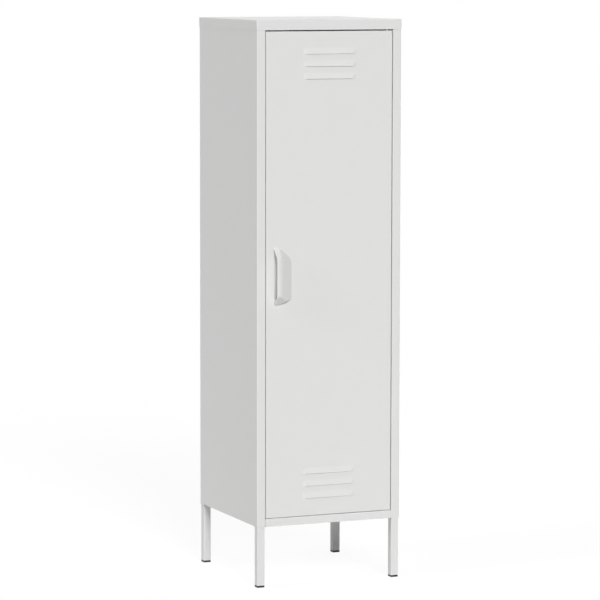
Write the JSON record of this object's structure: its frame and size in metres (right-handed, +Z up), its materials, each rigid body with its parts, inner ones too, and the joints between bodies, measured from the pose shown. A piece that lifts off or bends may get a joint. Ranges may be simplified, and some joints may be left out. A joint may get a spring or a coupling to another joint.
{
  "type": "side locker",
  "caption": "Tall narrow sheet-steel locker on square legs, with a louvred door on concealed pivots, a moulded pull, clip-in shelves and magnetic catches.",
  "frame": {"origin": "bottom centre of the bounding box, on the floor under the middle of the locker", "axes": "+Z up; the door faces -Y; +X to the right when facing the door"},
  "size_m": [0.38, 0.4046, 1.372],
  "materials": {
    "white_powder_coat": "satin white powder coat",
    "white_moulded_plastic": "satin white moulded plastic",
    "black_cap_plastic": "matt black moulded plastic",
    "zinc_plate": "bright zinc plate",
    "nylon": "natural nylon",
    "grey_catch_plastic": "grey moulded plastic",
    "dark_magnet": "dark ferrite",
    "bare_steel": "bare mild steel"
  },
  "bodies": {
    "cabinet": {"back_panel": "white_powder_coat", "back_panel_screws": "zinc_plate", "catch_screws": "zinc_plate", "floor_panel": "white_powder_coat", "floor_screws": "zinc_plate", "front_left_foot_cap": "black_cap_plastic", "front_left_leg": "white_powder_coat", "front_right_foot_cap": "black_cap_plastic", "front_right_leg": "white_powder_coat", "header_channel": "white_powder_coat", "header_screws": "zinc_plate", "left_side_panel": "white_powder_coat", "leg_screws": "zinc_plate", "lid": "white_powder_coat", "lid_nuts": "zinc_plate", "lid_studs": "zinc_plate", "lower_catch_housing": "grey_catch_plastic", "lower_catch_magnet": "dark_magnet", "lower_catch_pole_plates": "bare_steel", "lower_pivot_bush": "nylon", "lower_shelf": "white_powder_coat", "lower_shelf_clips": "zinc_plate", "middle_shelf": "white_powder_coat", "middle_shelf_clips": "zinc_plate", "rear_left_foot_cap": "black_cap_plastic", "rear_left_leg": "white_powder_coat", "rear_right_foot_cap": "black_cap_plastic", "rear_right_leg": "white_powder_coat", "right_side_panel": "white_powder_coat", "upper_catch_housing": "grey_catch_plastic", "upper_catch_magnet": "dark_magnet", "upper_catch_pole_plates": "bare_steel", "upper_pivot_bush": "nylon", "upper_shelf": "white_powder_coat", "upper_shelf_clips": "zinc_plate"},
    "door": {"door_skin": "white_powder_coat", "door_stiffener": "white_powder_coat", "door_handle": "white_moulded_plastic", "handle_screws": "zinc_plate", "upper_pivot_bracket": "zinc_plate", "lower_pivot_bracket": "zinc_plate", "upper_pivot_pin": "zinc_plate", "lower_pivot_pin": "zinc_plate", "upper_strike_plate": "bare_steel", "lower_strike_plate": "bare_steel", "strike_rivets": "zinc_plate"}
  },
  "joints": [
    {"name": "door_hinge", "type": "hinge", "parent": "cabinet", "child": "door", "pos_m": [0.153, -0.17075, 0.75], "axis": [0, 0, 1], "range_deg": [0, 125]}
  ]
}
